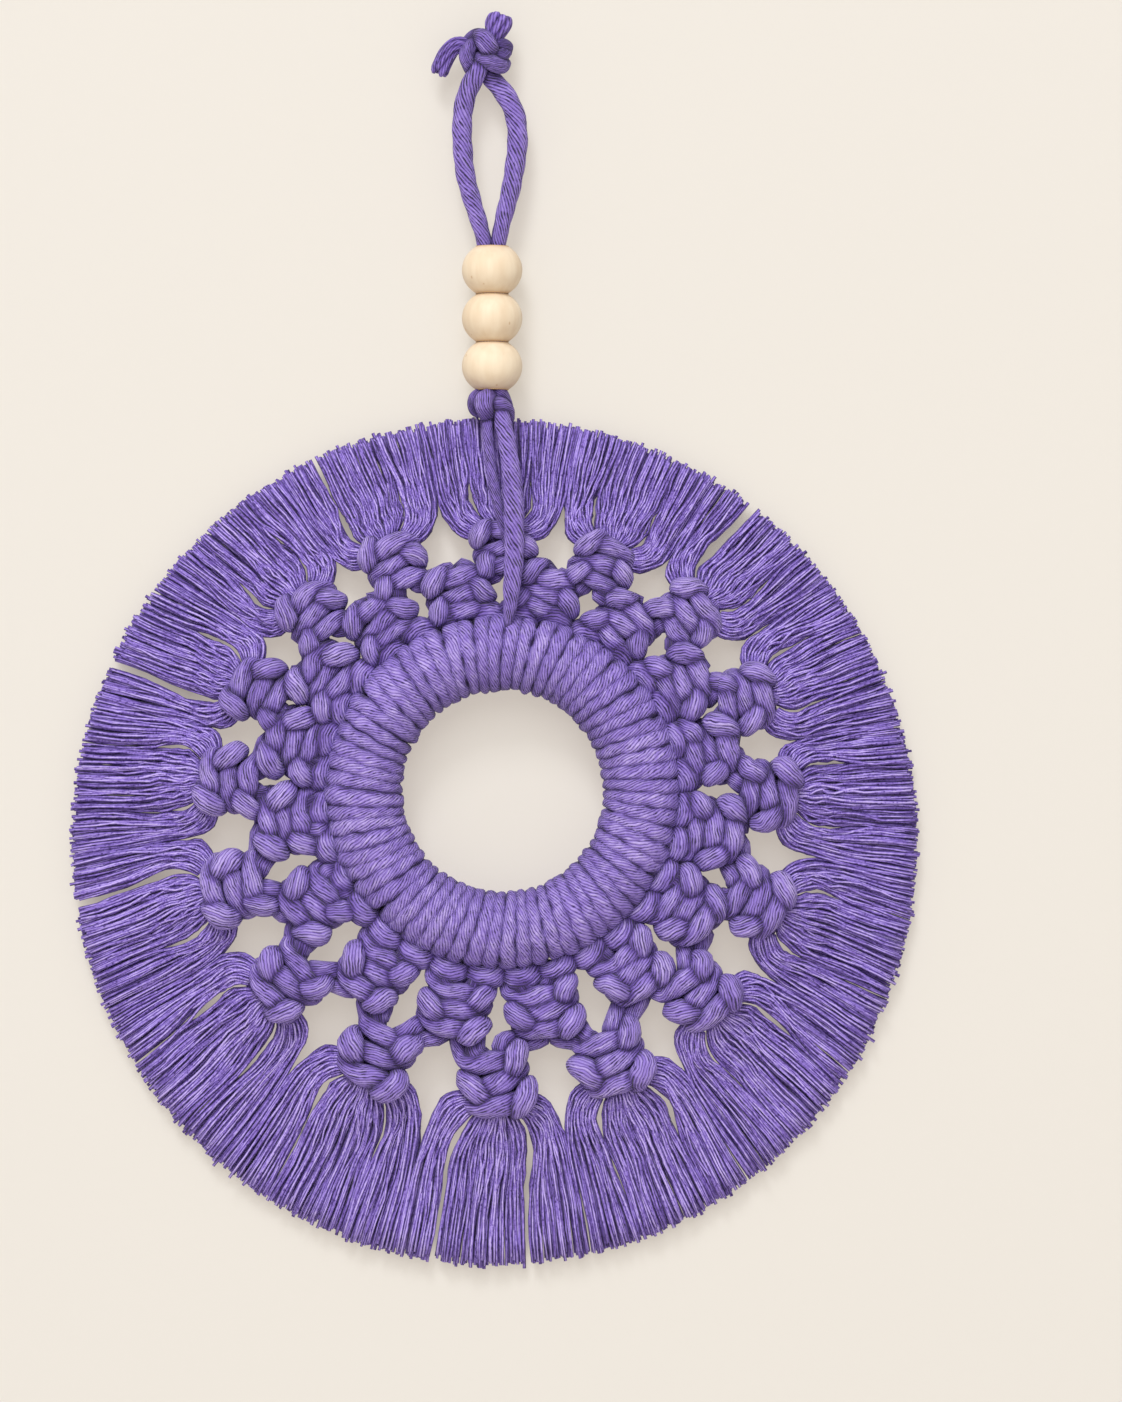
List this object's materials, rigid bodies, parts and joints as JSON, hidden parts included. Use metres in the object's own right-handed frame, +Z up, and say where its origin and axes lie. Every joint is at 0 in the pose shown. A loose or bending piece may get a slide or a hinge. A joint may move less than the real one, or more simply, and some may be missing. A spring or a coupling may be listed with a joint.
{
  "type": "round macrame wall hanging with a beaded hanging loop",
  "caption": "Round wall hanging of knotted cotton cord: a wrapped ring, a net of square knots, a combed fringe trimmed round, and a hanging loop with turned wooden beads.",
  "frame": {"origin": "middle of the cord's thickness at the top of the hanging loop, just under the top knot", "axes": "+Z up along the height, +X to the right seen from the front, front face towards -Y, wall on the +Y side"},
  "size_m": [0.151, 0.0128, 0.2245],
  "materials": {
    "cotton_cord": "soft matte single-strand cotton cord, violet, combed out at the fringe",
    "bead_wood": "pale turned wood, fine pores, soft sheen"
  },
  "bodies": {
    "root": {"wrapped_ring": "cotton_cord", "knotted_net": "cotton_cord", "fringe_01": "cotton_cord", "fringe_02": "cotton_cord", "fringe_03": "cotton_cord", "fringe_04": "cotton_cord", "fringe_05": "cotton_cord", "fringe_06": "cotton_cord", "fringe_07": "cotton_cord", "fringe_08": "cotton_cord", "fringe_09": "cotton_cord", "fringe_10": "cotton_cord", "fringe_11": "cotton_cord", "fringe_12": "cotton_cord", "fringe_13": "cotton_cord", "fringe_14": "cotton_cord", "fringe_15": "cotton_cord", "fringe_16": "cotton_cord", "hanging_loop": "cotton_cord", "top_knot": "cotton_cord", "under_knot": "cotton_cord", "front_cord": "cotton_cord", "back_cord": "cotton_cord", "bead_1": "bead_wood", "bead_2": "bead_wood", "bead_3": "bead_wood"}
  },
  "joints": []
}
